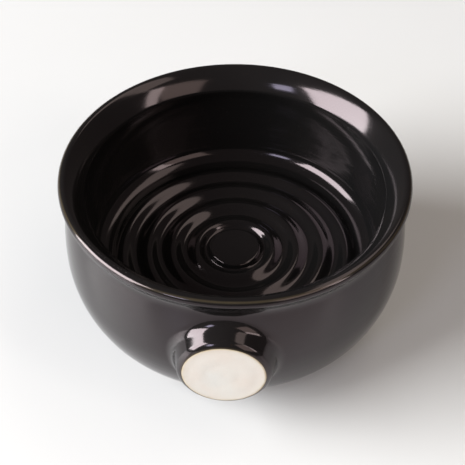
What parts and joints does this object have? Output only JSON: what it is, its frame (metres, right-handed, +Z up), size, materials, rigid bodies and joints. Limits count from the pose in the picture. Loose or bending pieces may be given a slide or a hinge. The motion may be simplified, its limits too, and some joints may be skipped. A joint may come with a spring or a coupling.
{
  "type": "shaving bowl",
  "caption": "Round glazed stoneware lather bowl with a flared rolled rim, ridged floor and a short round stub grip on one side.",
  "frame": {"origin": "on the bowl's axis, at the plane the foot ring stands on", "axes": "+Z up along the bowl's axis, -Y out along the stub grip's axis, +X to the right as seen from the stub"},
  "size_m": [0.13, 0.1358, 0.067],
  "materials": {
    "bare_stoneware": "matt unglazed fired clay",
    "bare_stub_clay": "matt unglazed fired clay, smoothed",
    "slip": "matt fired slip under the glaze",
    "inside_glaze": "glossy brown-black glaze",
    "outside_glaze": "glossy brown-black glaze, breaking brown where it is thin"
  },
  "bodies": {
    "root": {"bowl_body": "bare_stoneware", "grip_stub": "bare_stub_clay", "root_slip": "slip", "inside_glaze": "inside_glaze", "outside_glaze": "outside_glaze"}
  },
  "joints": []
}
